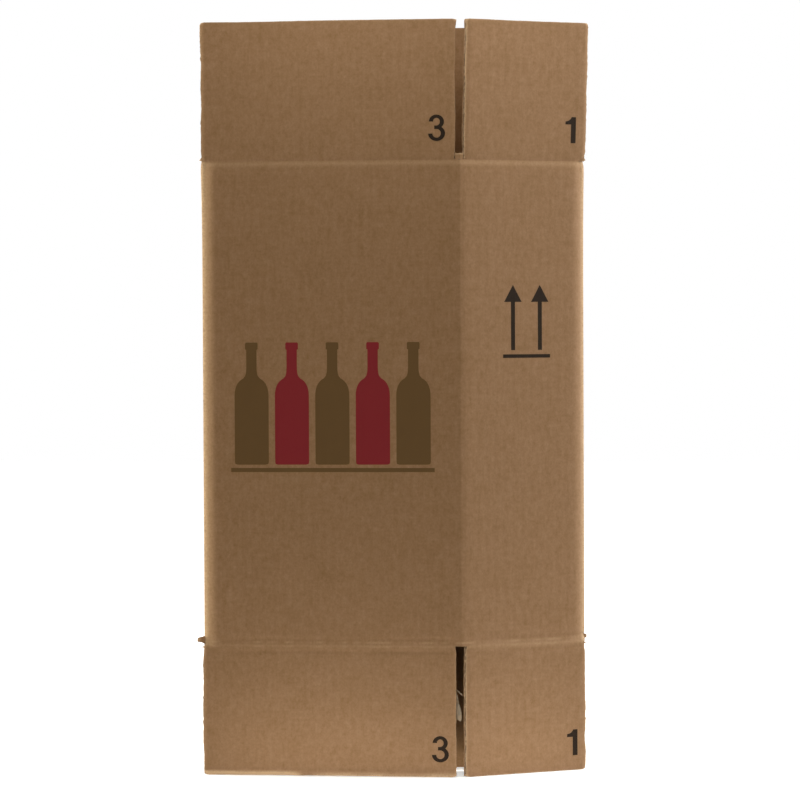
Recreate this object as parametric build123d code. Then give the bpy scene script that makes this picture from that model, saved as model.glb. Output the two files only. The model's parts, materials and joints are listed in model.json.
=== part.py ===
from build123d import *
import math
import os

# A tall corrugated shipping box for two bottles, empty, with both ends open and
# all eight flaps up or down in line with their walls. It stands partly
# flattened: in plan its four walls make a parallelogram, not a rectangle.
# Sizes are in mm, +Z is up, the wide walls run along X and the wide front wall
# faces -Y. The origin is under the middle of the whole box, at floor level.

# The sheet, crease to crease when it lies flat
wide_panel = 203.0
narrow_panel = 109.5
body_height = 380.5
top_flap = 110.0
bottom_flap = 103.0

# How far the sleeve is open: 90 is square, 180 is flat
front_corner_deg = 147.5

# The board: two flat liners with a fluted medium between them. The corners of a
# flute's tip are cut back by a share of half its width.
board = 4.0
liner = 0.45
medium = 0.4
flute_pitch = 7.8
flute_flank_deg = 51.0
flute_tip_cut = 0.6

# Vertical folds
fold_inner_radius = 0.4
fold_notch_radius = 0.9

# Slots between neighbouring flaps
slot_width = 7.0
front_flap_reach = 5.2
web_height = 4.6
web_gap = 0.3

# Horizontal creases, where the board is crushed to a valley on each face. On the
# outer face of a lower crease there are two shallow grooves instead, one on each
# side of the fold line.
valley_depth = 0.8
valley_height_on_wall = 3.4
valley_height_on_flap = 1.2
inner_valley_depth = 1.3
inner_valley_height = 4.0
groove_depth = 0.35
groove_width = 2.8
groove_offset = 5.0
crushed_length = 6.0

# The cut edges of a flap, which the die squeezes
squeeze_depth = 0.3
squeeze_width = 1.5

# The glued seam, at the rear corner
tab_width = 35.0
tab_setback = 4.0
tab_bevel_deg = 14.0
seam_gap = 0.6

# How far each upper flap leans outward as it stands
lean_deg = {"flap_1_top": 3.0, "flap_2_top": 5.0, "flap_4_top": 10.0}

# Torn ears of board at the two sharp corners: (reach, height, lowest point above
# the lower crease), and their outline in shares of reach and height
ear_thickness = 1.6
left_ears = [(4.9, 8.5, 0.8), (2.3, 3.0, body_height - 3.4)]
right_ears = [(1.3, 5.0, 5.5), (1.8, 3.0, body_height - 3.4)]
ear_outline = [(0.55, 0.33), (1.0, 0.38), (0.9, 0.7), (0.65, 0.84)]

# Sizes that follow from those above
skew = 180.0 - front_corner_deg
fold_radius = fold_inner_radius + board / 2
lower_crease = bottom_flap
upper_crease = bottom_flap + body_height


def tangent(turn_deg):
    """Distance from a sharp corner of the mid-line to where its fold begins."""
    return fold_radius * math.tan(math.radians(turn_deg) / 2)


def allowance(turn_deg):
    """Distance from a sharp corner of the mid-line to the crease, laid flat."""
    return tangent(turn_deg) - fold_radius * math.radians(turn_deg) / 2


def direction(angle_deg):
    """Unit vector in plan."""
    return Vector(math.cos(math.radians(angle_deg)), math.sin(math.radians(angle_deg)))


# The sleeve in plan, round its mid-line from the front corner. The glue tab lies
# one board inside the narrow rear wall, so that wall is turned a little outward.
turn_front = skew
turn_right = 180.0 - skew
narrow_side = narrow_panel + allowance(turn_front) + allowance(turn_right)
seam_turn = math.degrees(math.asin(board / narrow_side))
turn_rear = skew + seam_turn
turn_left = 180.0 - turn_rear
wide_side = wide_panel + allowance(turn_front) + allowance(turn_left)
rear_wall_length = math.sqrt(narrow_side**2 - board**2)

front = Vector(0, 0)
left = Vector(-wide_side, 0)
right = direction(skew) * narrow_side
rear = left + right
rear_run = direction(180 + turn_rear)
rear_wall_start = rear + direction(90 + turn_rear) * board
raw_edge = tangent(turn_rear) + seam_gap

# Each wall: where its frame starts, its direction, and how far along it its
# flaps run. X runs along the wall, Y points inward and Z is up.
walls = {
    1: (
        front,
        skew,
        allowance(turn_front) + slot_width / 2,
        narrow_side - allowance(turn_right) - slot_width / 2 + front_flap_reach,
    ),
    2: (
        rear_wall_start,
        180 + turn_rear,
        raw_edge + slot_width / 2,
        rear_wall_length - allowance(turn_left) - slot_width / 2,
    ),
    3: (
        left,
        0,
        allowance(turn_left) + slot_width / 2 - front_flap_reach,
        wide_side - allowance(turn_front) - slot_width / 2,
    ),
    4: (
        right,
        180,
        allowance(turn_right) + slot_width / 2,
        wide_side - allowance(turn_rear) - slot_width / 2,
    ),
}


def wall_plane(number, height=0.0):
    """A wall's own frame, with its origin on the board's mid-line."""
    start, angle, _, _ = walls[number]
    return Plane(
        origin=(start.X, start.Y, height), x_dir=direction(angle), z_dir=(0, 0, 1)
    )


def strip(points, low, high):
    """An upright wall of board along a mid-line in plan, folded at its corners."""
    path = FilletPolyline(*[(p.X, p.Y) for p in points], radius=fold_radius)
    section = trace(path, line_width=board)
    return extrude(Pos(0, 0, low) * section, amount=high - low)


def pressed(start, end, profile):
    """What a crease presses out of a board, with its outline as seen along the wall."""
    return extrude(Plane.YZ.offset(start) * Polygon(*profile, align=None), amount=end - start)


def crease_cut(start, end, upper, on_wall):
    """All that is pressed out on one side of a fold line, above Z = 0."""
    outer, inner = -board / 2, board / 2
    height = valley_height_on_wall if on_wall else valley_height_on_flap
    valley = [(outer, 0), (outer + valley_depth, 0), (outer, height)]
    groove = [
        (outer, groove_offset - groove_width / 2),
        (outer + groove_depth, groove_offset),
        (outer, groove_offset + groove_width / 2),
    ]
    inner_valley = [(inner, 0), (inner - inner_valley_depth, 0), (inner, inner_valley_height)]
    outside = pressed(start, end, valley if upper else groove)
    return outside + pressed(start, end, inner_valley)


def crease_cuts(start, end, upper):
    """All that a crease presses out, on both sides of its fold line."""
    inward = crease_cut(start, end, upper, on_wall=True)
    outward = crease_cut(start, end, upper, on_wall=False)
    if upper:
        return mirror(inward, about=Plane.XY) + outward
    return inward + mirror(outward, about=Plane.XY)


def squeezed(start, end):
    """A board's section with both of its cut edges squeezed on both faces."""
    deep, wide, half = squeeze_depth, squeeze_width, board / 2
    return Polygon(
        (start, deep - half), (start + wide, -half), (end - wide, -half),
        (end, deep - half), (end, half - deep), (end - wide, half),
        (start + wide, half), (start, half - deep), align=None,
    )


def channel(pitch):
    """One flute's hollow: wide at the liner that closes it, blunt at its other end."""
    depth = board - 2 * liner - medium
    slope = 1 / math.tan(math.radians(flute_flank_deg))
    wall = medium * math.sqrt(1 + slope**2)
    tip = (pitch / 2 - slope * (depth - medium) - wall) / 2
    foot = tip + slope * depth
    low = liner - board / 2
    outline = Polygon(
        (-foot, low), (foot, low), (tip, low + depth), (-tip, low + depth), align=None
    )
    corners = outline.vertices().filter_by(lambda v: v.Y > 0)
    return chamfer(corners, length=flute_tip_cut * tip)


def flutes(start, end, low, high):
    """All the hollows across a board, alternately on its outer and inner liner."""
    count = max(1, round((end - start) / flute_pitch))
    pitch = (end - start) / count
    hollow = channel(pitch)
    outer = [Pos(start + i * pitch, 0) * hollow for i in range(count + 1)]
    inner = [
        Pos(start + (i + 0.5) * pitch, 0) * mirror(hollow, about=Plane.XZ)
        for i in range(count)
    ]
    return extrude(Pos(0, 0, low) * Sketch(children=outer + inner), amount=high - low)


def flap(number, length, upper):
    """One flap, standing on its crease or hanging from it, in the box's frame."""
    _, _, start, end = walls[number]
    blank = extrude(squeezed(start, end), amount=length)
    blank -= flutes(start, end, crushed_length, length)
    blank -= crease_cut(start, end, upper, on_wall=False)
    if not upper:
        blank = mirror(blank, about=Plane.XY)
    name = f"flap_{number}_{'top' if upper else 'bottom'}"
    hinge = Axis((0, -board / 2, 0), (1, 0, 0))
    blank = blank.rotate(hinge, lean_deg.get(name, 0.0) * (1 if upper else -1))
    return name, wall_plane(number, upper_crease if upper else lower_crease) * blank


def torn_ear(corner, outward_deg, reach, height, low):
    """A torn scrap of board that stands out from a sharp corner."""
    out = fold_radius + board / 2
    torn = [(out + along * reach, up * height) for along, up in ear_outline]
    outline = Polygon((0, 0), (out, 0), *torn, (out, height), (0, height), align=None)
    plane = Plane(
        origin=(corner.X, corner.Y, lower_crease + low),
        x_dir=direction(outward_deg),
        z_dir=direction(outward_deg - 90),
    )
    return extrude(plane * outline, amount=ear_thickness / 2, both=True)


def fold_centre(corner, turn_deg, inward_deg):
    """Centre of the fold at a corner, on the line that halves the corner."""
    away = fold_radius / math.cos(math.radians(turn_deg) / 2)
    return corner + direction(inward_deg) * away


def tab_bevels():
    """What is cut off the glue tab's two ends, so that they taper."""
    fall = tab_width * math.tan(math.radians(tab_bevel_deg))
    root = tangent(turn_rear)
    side = Polygon(
        (root, 0), (root, tab_setback), (root + tab_width, tab_setback + fall),
        (root + tab_width, 0), align=None,
    )
    frame = Plane(origin=(rear.X, rear.Y, 0), x_dir=rear_run, z_dir=(0, 0, 1))
    lower = extrude(Plane.XZ.offset(-board / 2) * side, amount=board)
    upper = mirror(lower, about=Plane.XY.offset(body_height / 2))
    return frame * Pos(0, 0, lower_crease) * (lower + upper)


def sleeve():
    """Four walls and the glue tab, folded from one strip."""
    middle = (right + rear) / 2
    around = [rear_wall_start + rear_run * raw_edge, left, front, right, middle]
    tab = [middle, rear, rear + rear_run * tab_width]
    body = strip(around, lower_crease, upper_crease)
    body += strip(tab, lower_crease, upper_crease) - tab_bevels()

    for number, (_, _, start, end) in walls.items():
        body -= wall_plane(number, lower_crease) * crease_cuts(start, end, upper=False)
        body -= wall_plane(number, upper_crease) * crease_cuts(start, end, upper=True)

    # The board that the upper front slot leaves uncut above the crease
    half = slot_width / 2 - web_gap
    web = [direction(180) * half, front, direction(skew) * half]
    body += strip(web, upper_crease - inner_valley_height, upper_crease + web_height)

    # The groove pressed along the inside of the two blunt folds
    for corner, turn, inward in (
        (front, turn_front, 90 + turn_front / 2),
        (rear, turn_rear, 270 + turn_rear / 2),
    ):
        centre = fold_centre(corner, turn, inward)
        notch = Pos(centre.X, centre.Y, 0) * Cylinder(fold_notch_radius, 2 * upper_crease)
        body -= notch

    for corner, turn, outward, ears in (
        (left, turn_left, 180 + (180 - turn_left) / 2, left_ears),
        (right, turn_right, (180 - turn_right) / 2, right_ears),
    ):
        centre = fold_centre(corner, turn, outward + 180)
        for reach, height, low in ears:
            body += torn_ear(centre, outward, reach, height, low)
    return body


def nodes():
    """Every node of the box, in its final place, by name."""
    pieces = {"sleeve": sleeve()}
    for number in walls:
        for upper, length in ((True, top_flap), (False, bottom_flap)):
            name, piece = flap(number, length, upper)
            pieces[name] = piece
    box = Compound([piece.solid() for piece in pieces.values()]).bounding_box()
    centre = Pos(-box.center().X, -box.center().Y, 0)
    return {name: centre * piece.solid() for name, piece in pieces.items()}


def main():
    os.makedirs("parts", exist_ok=True)
    for name, piece in nodes().items():
        export_step(piece, f"parts/{name}.step")


if __name__ == "__main__":
    main()
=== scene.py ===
import json
import math

import bmesh
import bpy
import numpy as np
from mathutils import Matrix, Vector
from mathutils.geometry import tessellate_polygon


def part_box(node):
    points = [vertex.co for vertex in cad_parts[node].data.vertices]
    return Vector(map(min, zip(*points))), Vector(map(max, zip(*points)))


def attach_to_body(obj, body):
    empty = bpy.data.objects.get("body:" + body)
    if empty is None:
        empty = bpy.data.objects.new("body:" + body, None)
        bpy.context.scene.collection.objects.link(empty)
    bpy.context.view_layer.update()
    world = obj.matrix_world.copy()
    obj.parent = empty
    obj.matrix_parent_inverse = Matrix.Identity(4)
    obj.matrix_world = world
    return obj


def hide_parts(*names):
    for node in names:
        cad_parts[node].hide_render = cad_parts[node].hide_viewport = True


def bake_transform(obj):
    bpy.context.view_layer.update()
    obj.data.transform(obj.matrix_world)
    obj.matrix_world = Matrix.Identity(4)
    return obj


# An empty corrugated shipping box for two bottles. It stands partly flattened, so
# that its four walls make a parallelogram in plan, and both of its ends are open.
# Sizes are in millimetres, and a mesh becomes metres as it is made. The places all
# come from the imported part: its hinges, its boxes and its corners.
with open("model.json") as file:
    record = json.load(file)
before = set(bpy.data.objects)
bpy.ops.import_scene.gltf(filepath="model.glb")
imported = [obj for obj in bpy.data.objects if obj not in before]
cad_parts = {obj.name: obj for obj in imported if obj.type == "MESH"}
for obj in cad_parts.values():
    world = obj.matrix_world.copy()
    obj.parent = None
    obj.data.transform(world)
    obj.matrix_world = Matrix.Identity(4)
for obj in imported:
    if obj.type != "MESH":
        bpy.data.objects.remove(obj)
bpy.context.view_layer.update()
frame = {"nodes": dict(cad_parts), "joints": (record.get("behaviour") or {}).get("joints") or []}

MM = 0.001
UP = np.array([0.0, 0.0, 1.0])
SLEEVE = "sleeve"
NEARLY = 1e-6

# The board: two liners, and between them a waved medium
board_low, board_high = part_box("flap_3_bottom")
BOARD = (board_high.y - board_low.y) / MM
LINER = 0.45
MEDIUM = 0.4
FLUTE_PITCH = 7.8
OUTER, INNER, FLUTES, SCRAP = 0, 1, 2, 3

# A swell is a ridge's height, the place of its middle and its width. A ripple is the
# height of noise and the length of its bumps.

# The vertical folds: the two sharp ones with sloping shoulders, and with edges that
# stand out near the upper crease, and the two blunt ones with a notch inside
FOLD_RADIUS = 2.4
SHOULDER_WIDTH = 8.0
SHOULDER_TILT_DEG = {"left": 20.5, "right": 20.0}
FOLD_TIP_START = {"left": 0.85, "right": 0.96}
FOLD_FLARE = 1.2
FOLD_FLARE_WIDTH = 1.6
FOLD_FLARE_LENGTH = 25.0
FRONT_PRESS = (0.45, 0.0, 3.0)
BLUNT_NOTCH = (0.7, 0.0, 0.8)

# The horizontal creases, on which the flaps bend. Places are distances past a crease.
CREASE_REACH = 9.0
BEND_START = -1.5
BEND_END = 4.5
CREASE_UNEVEN = ((0.28, 9.0), (0.14, 2.5))
UPPER_VALLEY = 1.25
UPPER_VALLEY_REACH = (3.3, 7.0)
LOWER_GROOVES = ((0.40, -5.0, 1.4), (0.50, 4.6, 1.6))
LOWER_RIDGE = (0.12, 0.0, 1.6)
LOWER_DEPTH = (0.75, 0.6)
GROOVE_WANDER = (0.8, 40.0)
NARROW_RIDGE = (0.30, 0.6, 2.8)
NARROW_BLEND = 20.0
INNER_VALLEY = (0.9, 0.0, 1.5)

# Where the shape, the rubbing and the painted rim highlight of the sharp folds fade out past a
# crease
FOLD_FADE_START = -2.0
FOLD_FADE_LENGTH = 5.0

# The web of board that stands up in the slot above the front fold
WEB_HALF = 3.2
WEB_HEIGHT = 4.6
WEB_SQUEEZE = 0.5
WEB_TUFTS = (0.9, 1.6)
WEB_TUFT_START = 1.0

# The order of the walls from the raw edge at the seam to the glue tab, which is the last
WALL_ORDER = (2, 3, 1, 4, "tab")

# The glued seam inside the rear blunt corner: its tab, and the board's two raw ends
SEAM_GAP = 0.6
TAB_WIDTH = 35.0
TAB_SETBACK = 4.0
TAB_SETBACK_LENGTH = 1.5
TAB_BEVEL_DEG = 14.0
TAB_CREASE_DEPTH = 0.1
TAB_CREASE_BLEND = 2.0
TAB_STRAY = 0.7
RAW_SQUEEZE = (0.4, 0.5)
RAW_SQUEEZE_WIDTH = 1.6
RAW_STRAY_WIDTH = 0.8

# How a cut edge strays: over long stretches, over short ones, and in single nibs
EDGE_STRAY = (0.38, 12.0)
EDGE_FRAY = (0.20, 2.6)
EDGE_NIBS = (1.0, 1.9)
NIB_LEVEL = 0.66
NIB_LENGTH = 1.6

# A flap's cut edges: how far its faces are squeezed in, from outside and from inside,
# and how its sides, its free edge and its corners stray
SIDE_SQUEEZE = (0.55, 0.45)
SIDE_SQUEEZE_WIDTH = 1.7
TIP_SQUEEZE = (0.22, 0.25)
TIP_SQUEEZE_WIDTH = 1.1
CORNER_SQUEEZE = 0.5
CORNER_SQUEEZE_WIDTH = 1.8
SIDE_STRAY_WIDTH = 0.9
SIDE_EDGE_START = 0.3
NO_EDGE = 1000.0
EDGE_FAR = 90.0
OTHER_SIDE = 300.0
TIP_TRIM = 0.5
TIP_STRAY = (0.35, 55.0)
TIP_FRAY = (0.10, 3.1)
TIP_STRAY_WIDTH = 1.6
CORNER_ROUNDING = (0.7, 0.0, 1.4)

# What sets some flaps apart. A pair is for a flap's start and for its end: how far the
# flap is cut narrower, and how far its edge is drawn in and a nib of torn liner sticks
# out at the crease. Then how far the end edge strays at the free edge, how far the inner
# liner sticks out of the start edge, and how worn the end edge is.
PLAIN_FLAP = {"trims": (0.0, 0.0), "drawn_in": (0.9, 0.9), "nibs": (0.0, 0.0)}
PLAIN_FLAP.update(flare=0.0, peeled=0.0, worn_end=0.75)
FLAP_TRAITS = {
    "flap_1_top": {"drawn_in": (0.9, 1.8), "nibs": (0.0, 2.6), "peeled": 0.9},
    "flap_1_bottom": {"trims": (0.0, 1.5), "peeled": 0.9},
    "flap_3_top": {"trims": (1.0, -0.1), "nibs": (2.3, 0.0), "flare": 1.8, "worn_end": 0.15},
    "flap_3_bottom": {"trims": (0.4, 0.7), "worn_end": 0.35},
}
DRAWN_IN_LENGTH = 4.0
NIB = (1.0, 1.3, 0.75)
PULL_WIDTH = 1.5
FLARE_LENGTH = 14.0
FLARE_WIDTH = 6.0

# The flute that a side cut went through, crushed into a wall in the edge
FRAY_INSET = 0.35
FRAY_ROUGH = 0.30
FRAY_BOW = 0.5
FRAY_FROM_FACES = (1.35, 0.95)
FRAY_THICKNESS = 0.25
FRAY_MARGIN = 0.8

# Noise over that wall: its height, how it changes across the wall, and its length
FRAY_NOISE = ((1.0, 3, 2.2), (0.6, 9, 0.9))
FRAY_WAVER = (0.12, 7, 1.4)
FRAY_PATCHES = (1.0, 5, 1.7)

# The foot of the wide front flap, crushed over part of its width, and less elsewhere
FOOT_CRUSH = 1.1
FOOT_HEIGHT = 5.0
FOOT_END = -20.0
FOOT_FADE = 14.0
FOOT_REST = 0.30
FOOT_REST_FADE = 20.0
FOOT_ROUGH = (0.35, 12.0)

# Torn ears of board at the two sharp corners: corner, reach, height and lowest
# point above the lower crease
EARS = (
    ("left", 4.9, 6.6, 0.2),
    ("left", 1.5, 1.6, -2.8),
    ("right", 1.4, 5.0, 0.6),
    ("right", 0.8, 1.5, -2.8),
)
EAR_THICKNESS = 1.4
EAR_THINNING = 0.55
EAR_UNEVEN = 0.3
EAR_ROOT = 0.3
EAR_TOP_FALL = (0.10, 0.12)
EAR_FOOT_RISE = (0.22, 0.06)
EAR_ROUGH = 0.25
EAR_ROUNDING = 0.08
EAR_LONGEST = 1.1
EAR_BEND = 0.25

# Shreds of liner torn from the wide front flap's edge in the lower slot: both ends
# (past the edge and along the flap), both widths, and how deep in the board
TORN_STRIPS = (
    ((0.6, 39.0), (1.7, 58.5), 0.5, 5.0, 2.9),
    ((0.2, 34.0), (4.4, 38.4), 0.8, 0.9, 2.2),
    ((0.2, 36.0), (1.6, 45.0), 0.4, 1.1, 1.9),
)
STRIP_THICKNESS = 0.2
STRIP_WIDENING = 1.5
STRIP_ROUGH = 0.2
STRIP_BOW = 0.16
STRIP_CURL = 1.3
STRIP_WAVE = 0.3

# Rubbing and painted highlight, from 0 for whole paper to 1 for bare fibres. The crushed
# foot's, partly painted light from the floor, is past 1, so that it shows everywhere.
# On the sharp folds and their shoulders: partly rubbing, partly a painted rim highlight, stronger on
# the left fold
FOLD_RUB_AND_HIGHLIGHT = {"left": 0.26, "right": 0.06}
FOLD_TIP_RUB_AND_HIGHLIGHT = 0.8
FOLD_TIP_RUB_WIDTH = 2.2
SHOULDER_RUB_WIDTH = 9.0
# The ridge just below the upper crease: partly rubbing, partly a painted highlight where it faces up
UPPER_RUB_AND_HIGHLIGHT = (0.24, -2.2, 1.9)
# The lower crease's band, line and spots: partly rubbing, partly painted highlight on the ridges
LOWER_BAND = (0.12, 0.6, 3.4)
LOWER_LINE = (0.10, 0.0, 1.0)
LOWER_SPOTS = ((0.30, -2.6, 0.9), (0.18, 0.8, 0.9))
RIDGE_SPOT_NOISE = (1.6, 5.0)
EDGE_RUB = 0.75
EDGE_RUB_WIDTH = 0.5
INNER_EDGE_RUB = 0.35
CORNER_RUB = 0.8
CORNER_RUB_WIDTH = 1.6
RAW_RUB = 0.7
RAW_RUB_WIDTH = 0.6
WEB_RUB = 0.8
WEB_RUB_HEIGHT = 1.2
FRAY_WEAR = 0.30
EAR_WEAR = 0.75
EAR_WORN_FROM = 0.55
EAR_WORN_RISE = 2.5
STRIP_WEAR = 0.3
# The crushed foot: rubbing plus painted light from the floor below
FOOT_RUB_AND_FLOOR_LIGHT = 2.6
MOST_RUB_AND_LIGHT = 2.0

# Seeds of the noise. A flap's own number is added to its seeds.
UPPER_SEED = 11
LOWER_SEED = 12
GROOVE_SEED = 13
SPOT_SEED = 15
FOOT_SEED = 16
FLAP_SEED = 20
FRAY_SEED = 60
SEAM_SEED = 71
TAB_SEED = 72
WEB_SEED = 73
STRIP_SEED = 81
EAR_SEED = 91
NOISE_CELLS = 97

# The print: every place is along a crease, and up from the wall's crease
INK_HEIGHT = 0.04
DIGIT_HEIGHT = 20.6
DIGITS = {
    "flap_1_top": (35.1, 14.3),
    "flap_1_bottom": (35.5, 91.0),
    "flap_2_top": (31.0, 14.3),
    "flap_2_bottom": (31.0, 91.0),
    "flap_3_top": (79.9, 14.5),
    "flap_3_bottom": (80.8, 91.0),
    "flap_4_top": (76.0, 14.5),
    "flap_4_bottom": (76.0, 91.0),
}
ARROW_FOOT = -155.2
ARROW_BAR = (-20.5, 21.4, 2.8)
ARROW_GAP = 0.5
ARROWS = (-11.6, 12.3)
ARROW_SHAFT = (3.6, 44.0)
ARROW_HEAD = (15.6, 13.4)
SHELF = (-77.0, 84.0, 3.2)
SHELF_FOOT = -244.0
BOTTLE_GAP = 2.6
BOTTLE_PITCH = 32.0
BOTTLE_COUNT = 5
BOTTLE_WIDTH = 27.0
BOTTLE_NECK = 8.2
BOTTLE_LIP = 10.0
BOTTLE_HEIGHT = 96.0

# How far apart the points of a mesh are, and how many there are
FLUTE_STEPS = 12
COLUMN_STEP = 5.0
ROW_STEP = 1.5
SLEEVE_ROW_STEP = 12.0
MEDIUM_ROW_SKIP = 3
EDGE_COLUMNS = (0.25, 0.6, 1.1, 1.8, 2.8, 4.2)
TIP_ROWS = (0.3, 0.7, 1.3, 2.0, 2.9, 4.0, 5.2)
FOLD_COLUMNS = (0.8, 1.8, 3.0, 4.5, 6.2, 8.0, 10.0, 13.0)
FOLD_STEP_DEG = 9.0
CREASE_ROWS = 13
CREASE_CROWDING = 1.7
CREASE_STEPS = CREASE_REACH * (np.arange(1, CREASE_ROWS + 1) / CREASE_ROWS) ** CREASE_CROWDING
WEB_ROWS = 6
PROFILE_POINTS = 600
FRAY_COLUMNS = 6
FRAY_STEP = 1.1
EAR_GRID = (9, 7)
STRIP_GRID = (7, 20)
SHARP_DEG = 38.0

# The kraft paper's colours
KRAFT_DARK = (0.206, 0.114, 0.045)
KRAFT_LIGHT = (0.318, 0.188, 0.106)
KRAFT_SPECK = (0.130, 0.070, 0.035)
# The pale tone of torn fibres, also used as painted highlight
TEAR_AND_HIGHLIGHT_TONE = (0.57, 0.395, 0.235)
FLUTE_TONE = (0.200, 0.130, 0.078)
PALE_SCRAP = (0.20, 0.160, 0.115)
BLACK_INK = (0.014, 0.009, 0.006)
OLIVE_INK = (0.118, 0.068, 0.026)
CRIMSON_INK = (0.205, 0.017, 0.024)

# The paper's mottling: how fine each noise is along the board, up it and from layer to
# layer, and its share in the tone
MOTTLING = (
    ((800.0, 640.0, 900.0), 0.62),
    ((390.0, 290.0, 900.0), 0.60),
    ((190.0, 130.0, 900.0), 0.52),
    ((500.0, 60.0, 900.0), 0.30),
    ((55.0, 420.0, 900.0), 0.20),
    ((42.0, 42.0, 42.0), 0.26),
)
MOTTLING_RELIEF = 0.8

# The faint lines of painted shade that the flutes' hollows leave on the liners, beside their real
# relief, and the patches they show in
FLUTE_LINE_SHADE = -0.045
FLUTE_LINE_RELIEF = 0.5
PATCH_SCALE = 28.0
PATCH_LEVELS = (0.40, 0.65)

# Flecks: how fine their noise is, its detail, the levels it shows between, its strength
SPECKS = ((900.0, 1500.0, 900.0), 1.0, (0.70, 0.78), 0.45)
FIBRES = ((1300.0, 500.0, 900.0), 2.0, (0.66, 0.76), 0.30)
INK_GAPS = ((1400.0, 1400.0, 900.0), 2.0, (0.52, 0.74), 0.08)
TEAR_NOISE = (500.0, 3.0, 0.7)
TEAR_LEVELS = (0.3, 0.6, 0.45, 1.0)
INK_MOTTLING = 0.03

# Gloss and relief
KRAFT_ROUGHNESS = 0.86
KRAFT_SPECULAR = 0.25
INK_ROUGHNESS = 0.80
INK_SPECULAR = 0.12
RELIEF_STRENGTH = 0.35
RELIEF_DEPTH = 0.0002

# The floor, in metres. It glows white for the camera, and less so near the box.
FLOOR_HALF = 6.0
FLOOR_COLOUR = (0.86, 0.86, 0.85, 1)
FLOOR_ROUGHNESS = 0.9
FLOOR_GLOW = (0.3, 1.2, 0.5, 1.0)
WHITE = (1, 1, 1, 1)
WORLD_STRENGTH = 0.011

# The lamps, in metres and watts: name, place, size, colour and power. A strip lamp runs
# along each wall: name, distance, height, width, height it aims at and power per metre.
WARM = (1.0, 0.925, 0.77)
SOFT_WARM = (1.0, 0.94, 0.81)
NEUTRAL = (1.0, 0.995, 1.0)
STUDIO_AIM = (0, 0, 0.3)
STUDIO_LAMPS = (
    ("left", (-1.15, 0.0, 0.30), (0.2, 0.9), SOFT_WARM, 20.5),
    ("right", (1.15, 0.42, 0.72), (0.7, 0.6), NEUTRAL, 23.0),
    ("high_front", (0.2, -1.0, 1.65), (0.5, 0.8), WARM, 10.5),
    ("high_back", (-0.15, 0.45, 1.7), (0.5, 0.8), WARM, 9.0),
)
STRIP_LAMPS = (
    ("toe", 0.035, 0.003, 0.02, 0.01, 0.055),
    ("foot", 0.085, 0.005, 0.04, 0.02, 0.42),
    ("brow", 0.13, 0.66, 0.06, 0.56, 0.62),
)
INSIDE_PLACE = (0, 0, 0.003)
INSIDE_AIM = (0, 1, 0.003)
INSIDE_SIZE = (0.16, 0.005)
INSIDE_POWER = 0.012

# The camera, as fitted to the photograph
CAMERA_PLACE = (323.4, -2788.3, 359.9)
CAMERA_TURN_DEG = 6.54
CAMERA_DIP_DEG = 1.325
CAMERA_ROLL_DEG = 0.261
CAMERA_LENS = 159.1


def ease(t):
    """Smooth step from 0 to 1."""
    t = np.clip(t, 0, 1)
    return t * t * (3 - 2 * t)


def soft_noise(x, y, size, seed):
    """Smooth noise between -1 and 1, with bumps about size across."""
    lattice = np.random.default_rng(seed).uniform(-1, 1, (NOISE_CELLS, NOISE_CELLS))
    u, v = np.broadcast_arrays(np.asarray(x, float) / size, np.asarray(y, float) / size)
    i, j = np.floor(u).astype(int), np.floor(v).astype(int)
    a, b = ease(u - i), ease(v - j)
    near, far = i % NOISE_CELLS, (i + 1) % NOISE_CELLS
    low, high = j % NOISE_CELLS, (j + 1) % NOISE_CELLS
    bottom = lattice[near, low] * (1 - a) + lattice[far, low] * a
    top = lattice[near, high] * (1 - a) + lattice[far, high] * a
    return bottom * (1 - b) + top * b


def ripple(x, shape, seed):
    """Noise along x, from its height and the length of its bumps."""
    height, length = shape
    return height * soft_noise(x, 0 * x, length, seed)


def bump(x, width):
    """A rounded bump of height 1 at x = 0."""
    return np.exp(-((x / width) ** 2))


def swell(x, shape):
    """A rounded ridge along x, from its height, the place of its middle and its width."""
    height, middle, width = shape
    return height * bump(x - middle, width)


def spread(breaks, step):
    """Places from the first break to the last, at most step apart, with every break."""
    breaks = np.unique(np.round(breaks, 4))
    parts = [
        np.linspace(low, high, max(1, math.ceil((high - low) / step)), endpoint=False)
        for low, high in zip(breaks[:-1], breaks[1:])
    ]
    return np.concatenate(parts + [breaks[-1:]])


def unit_grid(counts):
    """A grid of places from 0 to 1 in both directions."""
    return np.meshgrid(*(np.linspace(0, 1, count) for count in counts), indexing="ij")


def on_layer(s, z, layer):
    """Points of the flat sheet, with the layer that they belong to as a third value."""
    return np.stack([s, z, np.full(s.shape, layer / MM)], -1)


def attach(mesh, name, kind, field, values):
    """Stores a value for each point of a mesh."""
    layer = mesh.attributes.new(name, kind, "POINT")
    layer.data.foreach_set(field, np.array(values, np.float32).ravel())


def linked(name, data):
    """A new object in the scene."""
    thing = bpy.data.objects.new(name, data)
    bpy.context.scene.collection.objects.link(thing)
    return thing


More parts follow.
